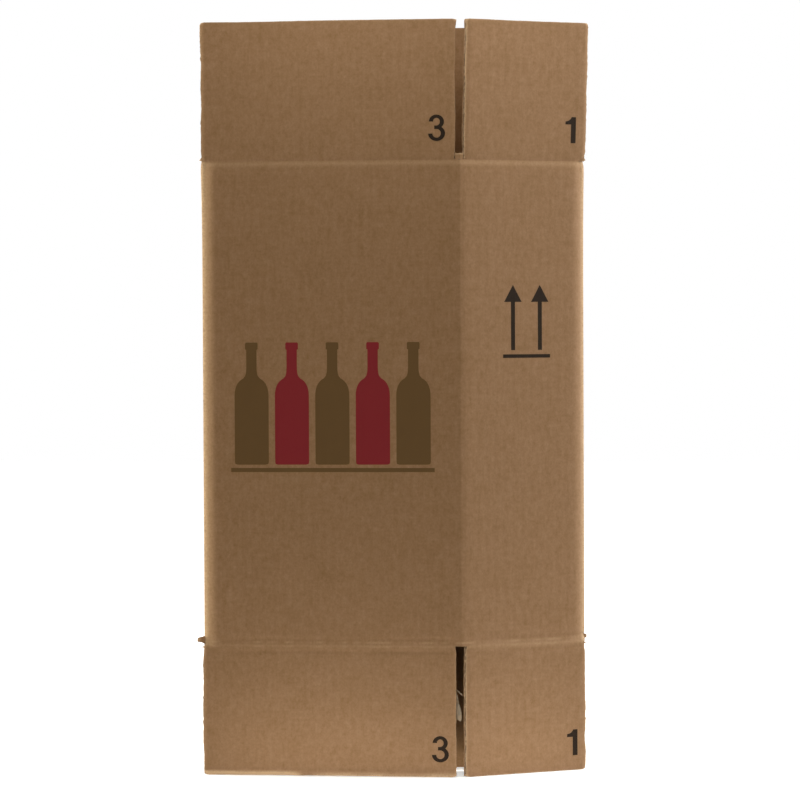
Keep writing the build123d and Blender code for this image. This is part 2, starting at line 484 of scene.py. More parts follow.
class Skin:
    """Points with their surface values, and faces, gathered before a mesh is made."""

    def __init__(self):
        self.points = []
        self.faces = []
        self.count = 0

    def add(self, points, board, wear_and_highlight):
        """Adds points with where they lie on the flat sheet and their rubbing and painted highlight.
        """
        first = self.count
        self.points.append(np.concatenate([points, board, wear_and_highlight[..., None]], -1).reshape(-1, 7))
        self.count += len(self.points[-1])
        return first

    def shell(self, front, back, board, wear_and_highlight, flip, kept=None):
        """A closed slab between two grids of points, of all cells or of the kept ones."""
        n, m = front.shape[:2]
        if kept is None:
            kept = np.ones((n - 1, m - 1), bool)
        grid = np.arange(n * m).reshape(n, m)
        f = self.add(front, board, wear_and_highlight) + grid
        b = self.add(back, board, wear_and_highlight) + grid
        i, j = np.nonzero(kept)
        quads = [
            np.stack([f[i, j], f[i + 1, j], f[i + 1, j + 1], f[i, j + 1]], 1),
            np.stack([b[i, j], b[i, j + 1], b[i + 1, j + 1], b[i + 1, j]], 1),
        ]
        around = np.pad(kept, 1)
        for di, dj, (a, c), (d, e) in (
            (0, -1, (0, 0), (1, 0)),
            (1, 0, (1, 0), (1, 1)),
            (0, 1, (1, 1), (0, 1)),
            (-1, 0, (0, 1), (0, 0)),
        ):
            i, j = np.nonzero(kept & ~around[1 + di : n + di, 1 + dj : m + dj])
            quads.append(
                np.stack([f[i + a, j + c], b[i + a, j + c], b[i + d, j + e], f[i + d, j + e]], 1)
            )
        quads = np.concatenate(quads)
        self.faces.append(quads[:, ::-1] if flip else quads)

    def piece(self, name, material):
        """The finished object, in metres, with its values as mesh attributes."""
        points, board, wear_and_highlight = np.split(np.concatenate(self.points), (3, 6), axis=1)
        faces = np.concatenate(self.faces)
        used = np.unique(faces)
        where = np.zeros(len(points), int)
        where[used] = np.arange(len(used))
        mesh = bpy.data.meshes.new(name)
        mesh.from_pydata((points[used] * MM).tolist(), [], where[faces].tolist())
        attach(mesh, "board", "FLOAT_VECTOR", "vector", board[used] * MM)
        attach(mesh, "wear_and_highlight", "FLOAT", "value", wear_and_highlight[used])
        mesh.polygons.foreach_set("use_smooth", [True] * len(mesh.polygons))
        mesh.set_sharp_from_angle(angle=math.radians(SHARP_DEG))
        mesh.materials.append(material)
        mesh.validate()
        return linked(name, mesh)


class Hinge:
    """A flap's crease: its line on the wall's outer face, and how far the flap goes."""

    def __init__(self, node):
        joint = next(j for j in frame["joints"] if j["child"] == node)
        self.node = node
        self.traits = {**PLAIN_FLAP, **FLAP_TRAITS.get(node, {})}
        self.number = int(node.split("_")[1])
        self.upper = node.endswith("top")
        self.seed = self.number * 4 + (2 if self.upper else 0)
        self.side = 1 if self.upper else -1
        self.origin = np.array(joint["pos_m"]) / MM
        self.run = np.array(joint["axis"]) * self.side
        self.inward = np.cross(UP, self.run)
        self.lean = math.radians(-joint["range_deg"][0])
        self.crease = self.origin[2]
        mesh = frame["nodes"][node].data
        corners = np.array([v.co for v in mesh.vertices]) / MM - self.origin
        away = UP * self.side * math.cos(self.lean) - self.inward * math.sin(self.lean)
        trim_start, trim_end = self.traits["trims"]
        self.start = (corners @ self.run).min() + trim_start
        self.end = (corners @ self.run).max() - trim_end
        self.length = (corners @ away).max()

    def place(self, a, y, h):
        """A point a along the crease, y in from the outer face and h along the flap."""
        turn = self.lean * ease((h - BEND_START) / (BEND_END - BEND_START))
        inward = y * np.cos(turn) - h * np.sin(turn)
        away = y * np.sin(turn) + h * np.cos(turn)
        return (
            self.origin
            + a[..., None] * self.run
            + inward[..., None] * self.inward
            + (away * self.side)[..., None] * UP
        )


hinges = {j["child"]: Hinge(j["child"]) for j in frame["joints"]}
walls = {h.number: h for h in hinges.values() if h.upper}
LOWER = hinges["flap_3_bottom"].crease
UPPER = hinges["flap_3_top"].crease


def meet(p, along, q, across):
    """Where two lines in plan cross."""
    lines = np.array([along[:2], -across[:2]]).T
    return p + along * np.linalg.solve(lines, (q - p)[:2])[0]


def middle_line(number, deeper=0.0):
    """A point on a wall's mid-line in plan, and the wall's direction."""
    wall = walls[number]
    point = wall.origin + wall.inward * (BOARD / 2 + deeper)
    return point * (1, 1, 0), wall.run


class Plan:
    """The sleeve's mid-line in plan, from the raw edge at the seam to the tab's end."""

    def __init__(self):
        tab_line = middle_line(2, deeper=BOARD)
        left = meet(*middle_line(2), *middle_line(3))
        front = meet(*middle_line(3), *middle_line(1))
        right = meet(*middle_line(1), *middle_line(4))
        rear = meet(*middle_line(4), *tab_line)
        turn = math.acos(np.clip(walls[4].run @ walls[2].run, -1, 1))
        gap = FOLD_RADIUS * math.tan(turn / 2) + SEAM_GAP
        raw = rear - walls[2].inward * BOARD + walls[2].run * gap
        tab_end = rear + walls[2].run * TAB_WIDTH
        stops = [raw, left, front, right, rear, tab_end]
        runs = [(b - a) / np.linalg.norm(b - a) for a, b in zip(stops[:-1], stops[1:])]
        self.pieces = []
        self.folds = []
        self.wall_starts = {}
        s, here = 0.0, raw
        for k, run in enumerate(runs):
            last = k == len(runs) - 1
            turn = 0.0 if last else math.acos(np.clip(run @ runs[k + 1], -1, 1))
            trim = FOLD_RADIUS * math.tan(turn / 2)
            end = stops[k + 1] - run * trim
            length = np.linalg.norm(end - here)
            heading = math.atan2(run[1], run[0])
            self.pieces.append((s, s + length, here, heading, 0.0))
            self.wall_starts[WALL_ORDER[k]] = (s, here, s + length)
            s += length
            if not last:
                bend = FOLD_RADIUS * turn
                self.pieces.append((s, s + bend, end, heading, 1 / FOLD_RADIUS))
                self.folds.append((s, s + bend))
                s += bend
                here = stops[k + 1] + runs[k + 1] * trim
        self.length = s

    def at(self, s):
        """Points on the mid-line, and the outward directions there."""
        s = np.asarray(s, float)
        point, out = np.zeros(s.shape + (3,)), np.zeros(s.shape + (3,))
        for low, high, start, heading, curve in self.pieces:
            here = (s >= low - NEARLY) & (s <= high + NEARLY)
            t = s[here] - low
            angle = heading + t * curve
            if curve:
                dx = (np.sin(angle) - math.sin(heading)) / curve
                dy = (math.cos(heading) - np.cos(angle)) / curve
            else:
                dx, dy = t * math.cos(heading), t * math.sin(heading)
            point[here] = start + np.stack([dx, dy, 0 * t], -1)
            out[here] = np.stack([np.sin(angle), -np.cos(angle), 0 * t], -1)
        return point, out

    def along_wall(self, hinge, a):
        """A place along a flap's crease as a length along the mid-line."""
        s, here, _ = self.wall_starts[hinge.number]
        return s + (hinge.origin - here) @ hinge.run + a

    def strip(self, hinge):
        """Where a flap's crease starts and ends on its wall's flat part."""
        start, _, end = self.wall_starts[hinge.number]
        offset = self.along_wall(hinge, 0)
        return max(hinge.start, start - offset), min(hinge.end, end - offset)


plan = Plan()
LEFT_FOLD, FRONT_FOLD, RIGHT_FOLD, REAR_FOLD = range(4)
SHARP_FOLDS = {"left": LEFT_FOLD, "right": RIGHT_FOLD}
front_middle = sum(plan.folds[FRONT_FOLD]) / 2


def on_sheet(hinge, a, h):
    """Where a place on a flap lies on the flat sheet: along it and up it."""
    return plan.along_wall(hinge, a), hinge.crease + hinge.side * h


def on_narrow(s):
    """0 before the front fold and 1 on the narrow front wall past it."""
    return ease((s - front_middle) / NARROW_BLEND)


def fold_profile(corner):
    """How deep the outer face lies from a sharp fold's shoulder to its middle."""
    low, high = plan.folds[SHARP_FOLDS[corner]]
    half = (high - low) / 2
    turn = half / FOLD_RADIUS
    tilt = math.radians(SHOULDER_TILT_DEG[corner])
    along = np.linspace(-SHOULDER_WIDTH, half, PROFILE_POINTS)
    step = along[1] - along[0]
    depths = [0.0]
    for t in along[1:]:
        if t < 0:
            depths.append(depths[-1] + step * math.tan(tilt * (1 + t / SHOULDER_WIDTH)))
            continue
        facing = np.interp(t / half, (FOLD_TIP_START[corner], 1.0), (tilt, turn))
        radius = FOLD_RADIUS + BOARD / 2 - depths[-1]
        slope = math.tan(facing - t / FOLD_RADIUS)
        depths.append(depths[-1] + step * radius / FOLD_RADIUS * slope)
    return (low + high) / 2, half, along, np.array(depths)


fold_profiles = {corner: fold_profile(corner) for corner in SHARP_FOLDS}


def fold_press(s):
    """How far the outer face falls in beside and round the sharp folds and the front one."""
    sharp = sum(
        np.interp(half - np.abs(s - middle), along, depths, left=0.0)
        for middle, half, along, depths in fold_profiles.values()
    )
    return sharp + swell(s - front_middle, FRONT_PRESS)


def fold_tips(s, width):
    """Rounded bumps of height 1 on the two sharp folds."""
    return sum(bump(s - middle, width) for middle, *_ in fold_profiles.values())


def fold_rub_and_highlight(s):
    """How rubbed the paper is on the two sharp folds and on their shoulders, with a painted rim
    highlight, stronger on the left fold.
    """
    rub_and_highlight = FOLD_TIP_RUB_AND_HIGHLIGHT * fold_tips(s, FOLD_TIP_RUB_WIDTH)
    for corner, (middle, half, *_) in fold_profiles.items():
        gap = np.abs(s - middle) - half
        rub_and_highlight = rub_and_highlight + FOLD_RUB_AND_HIGHLIGHT[corner] * (1 - ease(gap / SHOULDER_RUB_WIDTH))
    return rub_and_highlight


def fold_share(h):
    """How much of a sharp fold's shape, rubbing and painted highlight is left at h past a crease."""
    return 1 - ease((h - FOLD_FADE_START) / FOLD_FADE_LENGTH)


def crease_depth(h, s, upper):
    """How far a crease presses the outer and inner faces in, at h past the crease."""
    seed = UPPER_SEED if upper else LOWER_SEED
    uneven = 1 + sum(ripple(s, one, seed) for one in CREASE_UNEVEN)
    if upper:
        reach = np.where(h < 0, *UPPER_VALLEY_REACH)
        outer = UPPER_VALLEY * uneven * np.exp(-np.abs(h) / reach)
    else:
        narrow = on_narrow(s)
        uneven = uneven * (LOWER_DEPTH[0] + LOWER_DEPTH[1] * narrow)
        wandering = h + ripple(s, GROOVE_WANDER, GROOVE_SEED)
        grooves = sum(swell(wandering, groove) for groove in LOWER_GROOVES)
        outer = uneven * (grooves - swell(h, LOWER_RIDGE)) - narrow * swell(h, NARROW_RIDGE)
    return outer, uneven * swell(h, INNER_VALLEY)


def add_board(skin, columns, rows, levels, faces, place, present, board, wear_and_highlight, flip):
    """A board's two liners and its medium. Levels are rows where what is present changes."""
    fine = spread(columns, FLUTE_PITCH / FLUTE_STEPS)
    sparse = np.unique(np.concatenate([rows[::MEDIUM_ROW_SKIP], rows[-1:], levels]))
    grids = {OUTER: (columns, rows), INNER: (columns, rows), FLUTES: (fine, sparse)}
    for layer, (across, along) in grids.items():
        a, h = np.meshgrid(across, along, indexing="ij")
        middles = [(places[1:] + places[:-1]) / 2 for places in (across, along)]
        outer, inner = faces(a, h)
        low, high = outer + LINER, inner - LINER
        s, z = board(a, h)
        if layer == OUTER:
            front, back = outer, low
        elif layer == INNER:
            front, back = high, inner
        else:
            wave = 0.5 + 0.5 * np.cos(2 * math.pi * s / FLUTE_PITCH)
            middle = low + MEDIUM / 2 + (high - low - MEDIUM) * wave
            front, back = middle - MEDIUM / 2, middle + MEDIUM / 2
        skin.shell(
            place(a, front, h, layer),
            place(a, back, h, layer),
            on_layer(s, z, layer),
            wear_and_highlight(a, h, layer),
            flip,
            present(*np.meshgrid(*middles, indexing="ij")),
        )


def ragged(along, layer, seed):
    """How far a cut edge strays, in millimetres."""
    coarse = ripple(along, EDGE_STRAY, seed)
    fine = ripple(along, EDGE_FRAY, seed + 7 * layer + 1)
    nibs = np.clip(ripple(along, EDGE_NIBS, seed + 5 * layer + 2) - NIB_LEVEL, 0, 1)
    return coarse + fine + NIB_LENGTH * nibs


def near_edge(gap, width):
    """1 at a cut edge, fading with the distance from it, and 0 far away."""
    return np.exp(-gap / width) * (gap < EDGE_FAR)


def lower_rub_and_highlight(h, s):
    """A lower crease's rubbed line, a band on the narrow wall and spots on the ridges beside it,
    partly rubbing and partly painted highlight.
    """
    spots = np.clip(ripple(s, RIDGE_SPOT_NOISE, SPOT_SEED), 0, 1)
    marks = sum(swell(h, spot) for spot in LOWER_SPOTS)
    return on_narrow(s) * swell(h, LOWER_BAND) + swell(h, LOWER_LINE) + spots * marks


def foot_crush(hinge, a, from_tip):
    """How far the wide front flap's foot is pressed in where it was crushed."""
    if hinge.node != "flap_3_bottom":
        return 0.0 * a
    crushed = ease((FOOT_END - a) / FOOT_FADE)
    rest = FOOT_REST * ease((a - FOOT_END) / FOOT_REST_FADE)
    rough = 1 + ripple(a, FOOT_ROUGH, FOOT_SEED)
    return FOOT_CRUSH * (crushed + rest) * rough * (1 - ease(from_tip / FOOT_HEIGHT))


def add_frayed_edge(skin, hinge, at, side):
    """The flute that a side cut went through, crushed into a ragged wall in the edge."""
    along = spread([FRAY_MARGIN, hinge.length - FRAY_MARGIN], FRAY_STEP)
    t, h = np.meshgrid(np.linspace(0, 1, FRAY_COLUMNS), along, indexing="ij")
    seed = FRAY_SEED + hinge.seed + (side > 0)

    def weave(shape, seed):
        height, across, length = shape
        return height * soft_noise(h, across * t, length, seed)

    rough = weave(FRAY_NOISE[0], seed) + weave(FRAY_NOISE[1], seed + 1)
    a = at + side * (FRAY_INSET + FRAY_ROUGH * rough + FRAY_BOW * (t - 0.5) ** 2)
    if side > 0:
        a = a - hinge.traits["peeled"] * t
    first, last = FRAY_FROM_FACES
    y = first + (BOARD - first - last) * t + weave(FRAY_WAVER, seed + 2)
    skin.shell(
        hinge.place(a, y, h),
        hinge.place(a + side * FRAY_THICKNESS, y, h),
        on_layer(*on_sheet(hinge, a, h), FLUTES),
        np.clip(FRAY_WEAR + weave(FRAY_PATCHES, seed + 3), 0, 1),
        side > 0,
    )


def add_torn_strips(skin, hinge, at):
    """Pale shreds of torn liner that hang out of a slot edge."""
    t, v = unit_grid(STRIP_GRID)
    for number, (first, last, narrow, wide, depth) in enumerate(TORN_STRIPS):
        width = narrow + (wide - narrow) * ease(STRIP_WIDENING * v)
        rough = soft_noise(7 * v, 3 * t + number, 1.0, STRIP_SEED)
        wave = soft_noise(5 * v, 2 * t, 1.0, STRIP_SEED + 1)
        curl = soft_noise(5 * t, number, 1.0, STRIP_SEED + 2) * v**3
        a = at + first[0] + (last[0] - first[0]) * v + (t - 0.5) * width + STRIP_ROUGH * rough
        h = first[1] + (last[1] - first[1]) * v + STRIP_CURL * curl
        y = depth - STRIP_BOW * width * np.sin(math.pi * t) + STRIP_WAVE * wave
        skin.shell(
            hinge.place(a, y, h),
            hinge.place(a, y + STRIP_THICKNESS, h),
            on_layer(*on_sheet(hinge, a, h), SCRAP),
            STRIP_WEAR * ease(rough + 0.5),
            True,
        )


def flap_piece(hinge, kraft):
    """One flap with its crease, as a mesh that bends from the sleeve to the flap."""
    start, end, length, traits = hinge.start, hinge.end, hinge.length, hinge.traits
    strip_start, strip_end = plan.strip(hinge)
    edges = [start + e for e in (0, *EDGE_COLUMNS)] + [end - e for e in (0, *EDGE_COLUMNS)]
    columns = spread([*edges, strip_start, strip_end], COLUMN_STEP)
    tip = [length - e for e in (0, *TIP_ROWS)]
    above = spread([CREASE_REACH, length - TIP_ROWS[-1]], ROW_STEP)
    rows = np.concatenate([-CREASE_STEPS, [0], CREASE_STEPS, above, tip])
    rows = np.unique(np.round(rows, 4))
    seed = FLAP_SEED + hinge.seed

    def board(a, h):
        return on_sheet(hinge, a, h)

    def edge_gaps(a, h):
        """Distances to the two side edges, which start at the crease, and to the free one."""
        none = NO_EDGE * (h < SIDE_EDGE_START)
        return a - start + none, end - a + none, length - h

    def faces(a, h):
        s, _ = board(a, h)
        outer, inner = crease_depth(h, s, hinge.upper)
        left, right, free = edge_gaps(a, h)
        side = bump(np.minimum(left, right), SIDE_SQUEEZE_WIDTH)
        tip = bump(free, TIP_SQUEEZE_WIDTH)
        outer = outer + fold_press(s) * fold_share(h) + foot_crush(hinge, a, free)
        outer = outer + SIDE_SQUEEZE[0] * side + TIP_SQUEEZE[0] * tip
        outer = outer + CORNER_SQUEEZE * side * bump(free, CORNER_SQUEEZE_WIDTH)
        return outer, BOARD - inner - SIDE_SQUEEZE[1] * side - TIP_SQUEEZE[1] * tip

    def place(a, y, h, layer):
        left, right, tip = edge_gaps(a, h)
        along = h + hinge.crease
        a = a - ragged(along, layer, seed) * near_edge(left, SIDE_STRAY_WIDTH)
        a = a + ragged(along + OTHER_SIDE, layer, seed) * near_edge(right, SIDE_STRAY_WIDTH)
        near_side = np.minimum(left, right)
        first = left < right
        drawn = np.where(first, *traits["drawn_in"]) * np.exp(-np.maximum(h, 0) / DRAWN_IN_LENGTH)
        nib = np.where(first, *traits["nibs"]) * swell(h, NIB)
        a = a + (drawn - nib) * near_edge(near_side, PULL_WIDTH) * np.where(first, 1, -1)
        flare = traits["flare"] * np.exp(-np.maximum(tip, 0) / FLARE_LENGTH)
        a = a + flare * near_edge(right, FLARE_WIDTH)
        if layer == INNER:
            a = a - traits["peeled"] * near_edge(left, PULL_WIDTH)
        stray = ripple(a, TIP_STRAY, seed + 3) - swell(near_side, CORNER_ROUNDING)
        stray = stray + ripple(a, TIP_FRAY, seed + 40 + layer)
        h = h + (stray - TIP_TRIM) * np.exp(-tip / TIP_STRAY_WIDTH)
        return hinge.place(a, y, h)

    def wear_and_highlight(a, h, layer):
        left, right, tip = edge_gaps(a, h)
        marks = ((EDGE_RUB, left), (traits["worn_end"], right), (EDGE_RUB, tip))
        rub_and_highlight = sum(most * np.exp(-gap / EDGE_RUB_WIDTH) for most, gap in marks)
        if layer == INNER:
            rub_and_highlight = INNER_EDGE_RUB * rub_and_highlight
        corner = bump(np.minimum(left, right), CORNER_RUB_WIDTH) * bump(tip, CORNER_RUB_WIDTH)
        s, _ = board(a, h)
        # Crease ridges and sharp folds: partly rubbing, partly painted highlight; the crushed foot
        # also gets painted light from the floor
        crest_rub_and_highlight = swell(h, UPPER_RUB_AND_HIGHLIGHT) if hinge.upper else lower_rub_and_highlight(h, s)
        crest_rub_and_highlight = crest_rub_and_highlight + fold_rub_and_highlight(s) * fold_share(h)
        rub_and_highlight = rub_and_highlight + CORNER_RUB * corner + crest_rub_and_highlight + FOOT_RUB_AND_FLOOR_LIGHT * foot_crush(hinge, a, tip)
        return np.clip(rub_and_highlight, 0, MOST_RUB_AND_LIGHT)

    def present(a, h):
        return (h > 0) | ((a > strip_start) & (a < strip_end))

    levels = [-CREASE_REACH, 0.0]
    skin = Skin()
    add_board(skin, columns, rows, levels, faces, place, present, board, wear_and_highlight, not hinge.upper)
    add_frayed_edge(skin, hinge, start, 1)
    add_frayed_edge(skin, hinge, end, -1)
    if hinge.node == "flap_3_bottom":
        add_torn_strips(skin, hinge, end)
    thing = skin.piece("board_" + hinge.node, kraft)
    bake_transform(thing)
    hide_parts(hinge.node)


def add_ears(skin):
    """The torn scraps of board that stand out from the two sharp corners."""
    u, v = unit_grid(EAR_GRID)
    for number, (corner, reach, height, low) in enumerate(EARS):
        fold_middle = sum(plan.folds[SHARP_FOLDS[corner]]) / 2
        middle, out = plan.at(np.array(fold_middle))
        across = np.cross(UP, out)
        rough = soft_noise(4 * u + number, 4 * v, 1.0, EAR_SEED)
        top = height * (1 - EAR_TOP_FALL[0] * u - EAR_TOP_FALL[1] * u**3)
        bottom = height * (EAR_FOOT_RISE[0] * ease(2 * u) + EAR_FOOT_RISE[1] * u**2)
        z = LOWER + low + bottom + (top - bottom) * v + EAR_ROUGH * rough * ease(2 * u)
        away = EAR_ROOT + (BOARD / 2 + reach) * u
        away = away - EAR_ROUNDING * reach * (2 * v - EAR_LONGEST) ** 2 * u
        half = EAR_THICKNESS / 2 * (1 - EAR_THINNING * u) * (1 + EAR_UNEVEN * rough)
        bend = EAR_BEND * reach * u**2 * soft_noise(3 * v, u + number, 1.0, EAR_SEED + 1)
        centre = middle + away[..., None] * out + z[..., None] * UP
        skin.shell(
            centre + (bend - half)[..., None] * across,
            centre + (bend + half)[..., None] * across,
            on_layer(fold_middle + away, z, OUTER),
            EAR_WEAR * ease((u - EAR_WORN_FROM) * EAR_WORN_RISE) * ease(2 * v),
            True,
        )


def sleeve_piece(kraft):
    """The four walls and the glue tab, with their upper and lower creases cut out."""
    strips = []
    for hinge in hinges.values():
        low, high = (plan.along_wall(hinge, a) for a in plan.strip(hinge))
        strips.append((low, high, hinge.upper))
    breaks = [0, plan.length, front_middle - WEB_HALF, front_middle + WEB_HALF]
    breaks += [*EDGE_COLUMNS, *(plan.length - e for e in EDGE_COLUMNS)]
    breaks += [s for strip in strips for s in strip[:2]]
    for low, high in plan.folds:
        steps = math.ceil(math.degrees((high - low) / FOLD_RADIUS) / FOLD_STEP_DEG)
        breaks += list(np.linspace(low, high, steps + 1))
        breaks += [low - e for e in FOLD_COLUMNS] + [high + e for e in FOLD_COLUMNS]
    columns = spread([s for s in breaks if 0 <= s <= plan.length], COLUMN_STEP)
    web_rows = np.linspace(0, WEB_HEIGHT, WEB_ROWS + 1)[1:]
    middle = spread([LOWER + CREASE_REACH, UPPER - CREASE_REACH], SLEEVE_ROW_STEP)
    creased = [LOWER + CREASE_STEPS, UPPER - CREASE_STEPS]
    rows = np.concatenate([[LOWER, UPPER], *creased, middle, UPPER + web_rows])
    rows = np.unique(np.round(rows, 4))
    tab_start = plan.folds[REAR_FOLD][1]

    def board(s, z):
        return s, z

    def faces(s, z):
        upper_outer, upper_inner = crease_depth(z - UPPER, s, True)
        lower_outer, lower_inner = crease_depth(LOWER - z, s, False)
        share = 1 - (1 - TAB_CREASE_DEPTH) * ease((s - tab_start) / TAB_CREASE_BLEND)
        outer = (upper_outer + lower_outer) * share
        inner = (upper_inner + lower_inner) * share
        raw = bump(s, RAW_SQUEEZE_WIDTH) + bump(plan.length - s, RAW_SQUEEZE_WIDTH)
        flare = FOLD_FLARE * np.exp(np.minimum(z - UPPER, 0) / FOLD_FLARE_LENGTH)
        outer = outer + fold_press(s) - flare * fold_tips(s, FOLD_FLARE_WIDTH)
        for low, high in (plan.folds[FRONT_FOLD], plan.folds[REAR_FOLD]):
            inner = inner + swell(np.maximum(np.maximum(low - s, s - high), 0), BLUNT_NOTCH)
        web = WEB_SQUEEZE * ease((z - UPPER) / WEB_HEIGHT)
        outer = outer + RAW_SQUEEZE[0] * raw + web
        return outer, BOARD - inner - RAW_SQUEEZE[1] * raw - web

    def place(s, y, z, layer):
        past = np.maximum(s - tab_start, 0)
        fall = TAB_SETBACK * ease(past / TAB_SETBACK_LENGTH)
        fall = fall + past * math.tan(math.radians(TAB_BEVEL_DEG))
        middle = (LOWER + UPPER) / 2
        z = middle + (z - middle) * (1 - fall / (middle - LOWER))
        s = s - ragged(z, layer, SEAM_SEED) * np.exp(-s / RAW_STRAY_WIDTH)
        to_end = plan.length - s
        s = s + TAB_STRAY * ragged(z, layer, TAB_SEED) * np.exp(-to_end / RAW_STRAY_WIDTH)
        s = np.clip(s, 0, plan.length)
        tuft = ease((z - UPPER - WEB_TUFT_START) / WEB_HEIGHT)
        z = z + ripple(s, WEB_TUFTS, WEB_SEED + layer) * tuft
        point, out = plan.at(s)
        return point + out * (BOARD / 2 - y)[..., None] + z[..., None] * UP

    def wear_and_highlight(s, z, layer):
        cut = sum(RAW_RUB * np.exp(-gap / RAW_RUB_WIDTH) for gap in (s, plan.length - s))
        cut = cut + WEB_RUB * ease(z - UPPER - WEB_HEIGHT + WEB_RUB_HEIGHT)
        # Crease ridges and sharp folds: partly rubbing, partly painted highlight
        crest_rub_and_highlight = swell(z - UPPER, UPPER_RUB_AND_HIGHLIGHT) + lower_rub_and_highlight(LOWER - z, s)
        return np.clip(fold_rub_and_highlight(s) + cut + crest_rub_and_highlight, 0, 1)

    def present(s, z):
        kept = (z < UPPER) | (np.abs(s - front_middle) < WEB_HALF)
        for low, high, upper in strips:
            edge = z > UPPER - CREASE_REACH if upper else z < LOWER + CREASE_REACH
            kept &= ~(edge & (s > low) & (s < high) & ((z < UPPER) | upper))
        return kept

    levels = [LOWER, LOWER + CREASE_REACH, UPPER - CREASE_REACH, UPPER]
    skin = Skin()
    add_board(skin, columns, rows, levels, faces, place, present, board, wear_and_highlight, False)
    add_ears(skin)
    thing = skin.piece("board_sleeve", kraft)
    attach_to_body(thing, SLEEVE)
    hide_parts(SLEEVE)


def arc(centre, radii, start_deg, end_deg, steps=18):
    """Points along part of an ellipse."""
    angles = np.radians(np.linspace(start_deg, end_deg, steps))
    return [(centre[0] + radii[0] * math.cos(t), centre[1] + radii[1] * math.sin(t)) for t in angles]


def curve(start, pull, end, steps=8):
    """Points along a quadratic curve."""
    start, pull, end = np.array(start), np.array(pull), np.array(end)
    t = np.linspace(0, 1, steps)[:, None]
    points = (1 - t) ** 2 * start + 2 * t * (1 - t) * pull + t * t * end
    return [tuple(point) for point in points]


def digit_loops(digit):
    """A plain bold digit one unit tall: its outline, and that of its hole if it has one."""
    if digit == 1:
        flag = curve((0, 0.83), (0.20, 0.84), (0.265, 1.0))
        return [[(0, 0.715), *flag, (0.455, 1.0), (0.455, 0), (0.245, 0), (0.245, 0.715)]]
    if digit == 2:
        outer = arc((0.33, 0.69), (0.31, 0.31), -46, 178)
        inner = arc((0.33, 0.69), (0.145, 0.17), 180, -40)
        neck = curve((0.27, 0.14), (0.33, 0.26), (0.46, 0.38))
        slant = curve((0.42, 0.56), (0.36, 0.46), (0.22, 0.36))
        foot = curve((0.22, 0.36), (0.02, 0.20), (0, 0))
        right = [(0, 0), (0.64, 0), (0.64, 0.14), *neck, *outer]
        return [[*right, (0.02, 0.655), (0.185, 0.655), *inner, *slant, *foot[1:-1]]]
    if digit == 3:
        upper_out = arc((0.32, 0.73), (0.29, 0.27), 178, -46)
        lower_out = arc((0.325, 0.29), (0.325, 0.29), 50, -178)
        lower_in = arc((0.325, 0.29), (0.16, 0.165), 182, 450)
        upper_in = arc((0.32, 0.73), (0.13, 0.145), -90, 178)
        return [[*upper_out, *lower_out, *lower_in, (0.235, 0.455), (0.235, 0.585), *upper_in]]
    outline = [(0, 0.21), (0, 0.36), (0.36, 1.0), (0.55, 1.0), (0.55, 0.36), (0.65, 0.36)]
    outline += [(0.65, 0.21), (0.55, 0.21), (0.55, 0), (0.37, 0), (0.37, 0.21)]
    return [outline, [(0.14, 0.36), (0.37, 0.36), (0.37, 0.78)]]


def arrow_loops(middle):
    """An upright arrow with a solid head."""
    shaft, length = ARROW_SHAFT[0] / 2, ARROW_SHAFT[1]
    head, height = ARROW_HEAD[0] / 2, ARROW_HEAD[1]
    foot = ARROW_FOOT + 2 * ARROW_BAR[2] + ARROW_GAP
    base = ARROW_FOOT + length
    right = [(middle + shaft, foot), (middle + shaft, base), (middle + head, base)]
    left = [(2 * middle - x, z) for x, z in reversed(right)]
    return [[*right, (middle, base + height), *left]]


def bar_loops(bar, foot):
    start, end, thickness = bar
    return [[(start, foot), (end, foot), (end, foot + thickness), (start, foot + thickness)]]


def bottle_loops(middle, foot):
    """An upright bottle with a long neck."""
    half, neck, lip, tall = BOTTLE_WIDTH / 2, BOTTLE_NECK / 2, BOTTLE_LIP / 2, BOTTLE_HEIGHT
    side = [(half - 2.5, 0), *curve((half - 0.7, 0.4), (half, 0.8), (half, 3.0), 5)]
    side += curve((half, 0.56 * tall), (half, 0.67 * tall), (neck + 2.6, 0.705 * tall))
    side += curve((neck + 1.0, 0.725 * tall), (neck, 0.75 * tall), (neck, 0.80 * tall), 6)
    side += [(neck, 0.94 * tall), (lip, 0.945 * tall), (lip, 0.99 * tall), (lip - 0.6, tall)]
    right = [(middle + x, foot + z) for x, z in side]
    return [[*right, *[(2 * middle - x, z) for x, z in reversed(right)]]]


def print_piece(name, body, hinge, shapes, ink):
    """Flat shapes of ink on a board's outer face, as thin closed slabs."""
    points, board, faces = [], [], []
    for loops in shapes:
        flat = np.array([p for loop in loops for p in loop])
        first, count = len(points), len(flat)
        a, h = flat.T
        for y in (-INK_HEIGHT, INK_HEIGHT / 2):
            points.extend(hinge.place(a, y + 0 * a, h) * MM)
            board.extend(on_layer(*on_sheet(hinge, a, h), OUTER) * MM)
        triangles = tessellate_polygon([[Vector((x, y, 0)) for x, y in loop] for loop in loops])
        faces += [[first + k for k in t] for t in triangles]
        faces += [[first + count + k for k in reversed(t)] for t in triangles]
        for loop in loops:
            ring = [first + k for k in range(len(loop))]
            for k, m in zip(ring, ring[1:] + ring[:1]):
                faces.append([k, m, m + count, k + count])
            first += len(loop)
    mesh = bpy.data.meshes.new(name)
    mesh.from_pydata(points, [], faces)
    attach(mesh, "board", "FLOAT_VECTOR", "vector", board)
    shape = bmesh.new()
    shape.from_mesh(mesh)
    bmesh.ops.recalc_face_normals(shape, faces=shape.faces)
    shape.to_mesh(mesh)
    shape.free()
    mesh.materials.append(ink)
    thing = linked(name, mesh)
    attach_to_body(thing, body)


